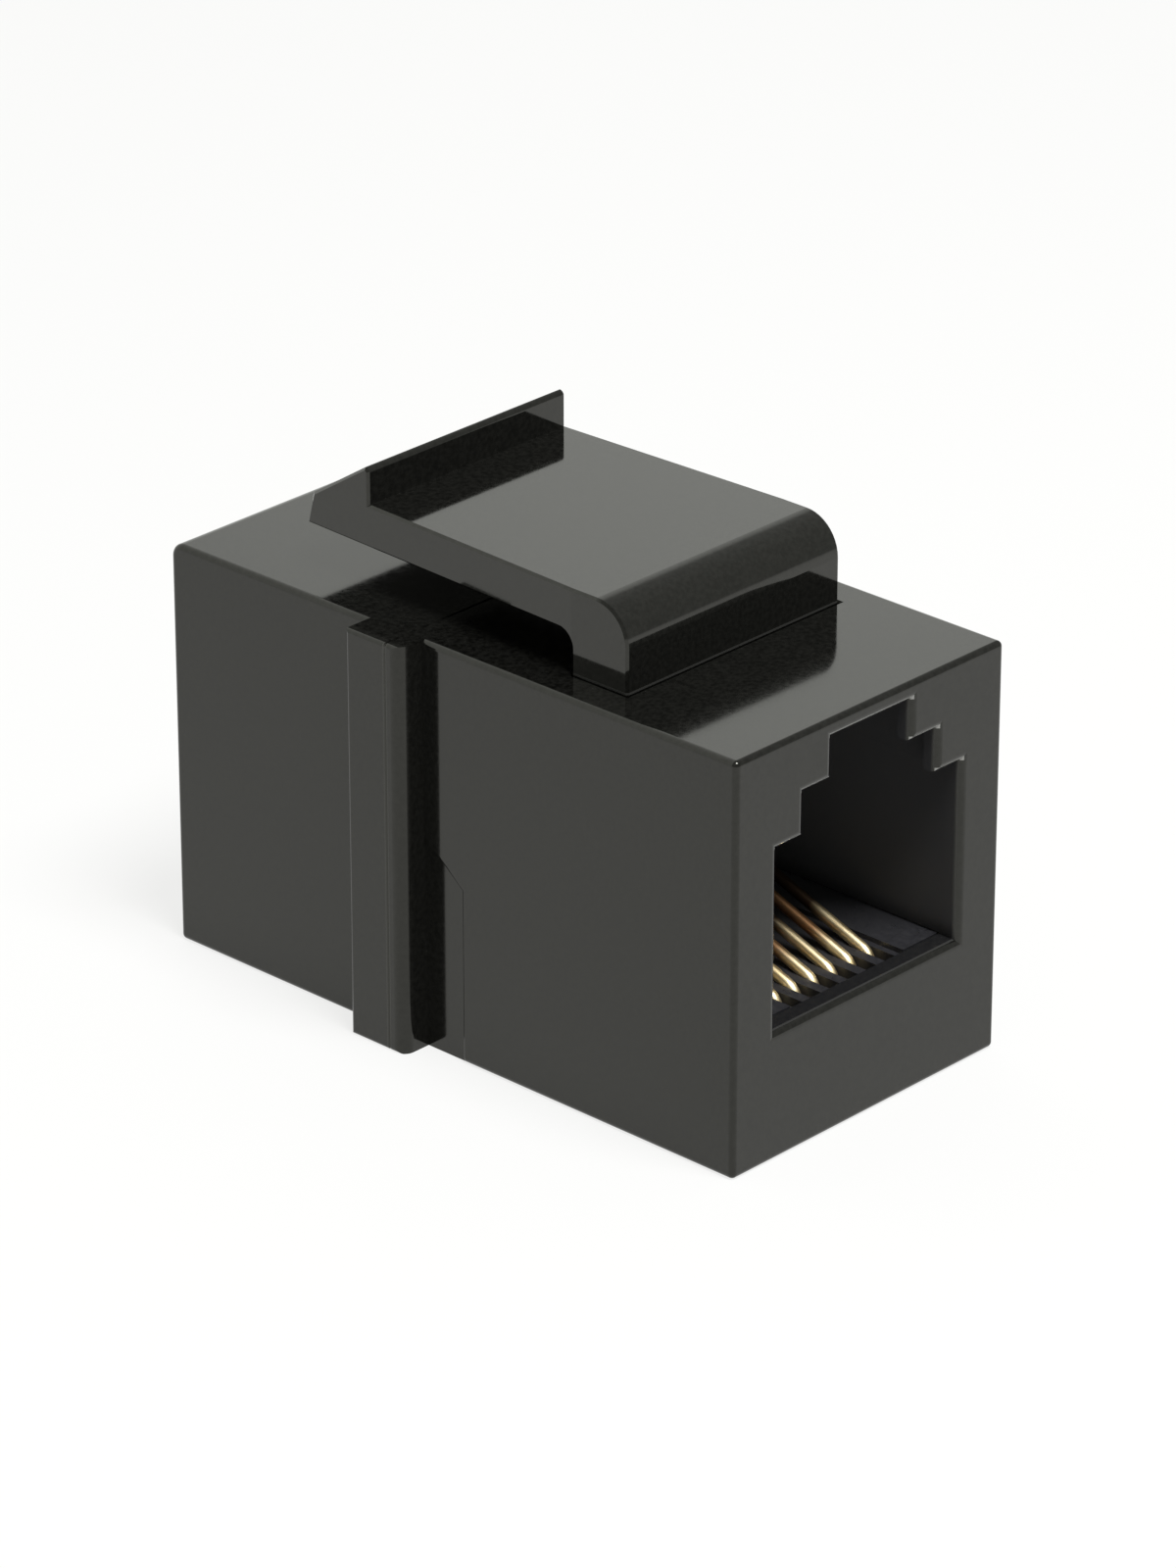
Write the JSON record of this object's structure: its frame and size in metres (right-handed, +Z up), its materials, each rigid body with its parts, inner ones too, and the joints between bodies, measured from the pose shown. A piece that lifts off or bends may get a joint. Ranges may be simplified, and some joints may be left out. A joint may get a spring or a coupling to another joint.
{
  "type": "keystone jack",
  "caption": "Feed-through keystone jack: a black box with a stepped modular-plug socket in each end, a panel flange, gold spring contacts and a latch on its roof.",
  "frame": {"origin": "middle of the underside, halfway between the front and rear faces", "axes": "+Z up through the roof and the latch, +Y from the front socket towards the rear socket, +X to the right seen from the front"},
  "size_m": [0.0168, 0.0286, 0.0214],
  "materials": {
    "housing": "black moulded plastic, polished, faint texture",
    "latch": "black moulded plastic, polished",
    "insert": "black moulded plastic, satin",
    "contact": "gold-plated spring wire, bright"
  },
  "bodies": {
    "jack_body": {"front_housing": "housing", "rear_housing": "housing", "wire_carrier": "insert", "keeper_plate": "insert", "contact_wire_1": "contact", "contact_wire_2": "contact", "contact_wire_3": "contact", "contact_wire_4": "contact", "contact_wire_5": "contact", "contact_wire_6": "contact"},
    "latch": {"release_latch": "latch"}
  },
  "joints": [
    {"name": "latch_press", "type": "hinge", "parent": "jack_body", "child": "latch", "pos_m": [0, -0.00628, 0.0166], "axis": [1, 0, 0], "range_deg": [-5.5, 0], "stiffness_Nm_per_rad": 0.6}
  ]
}
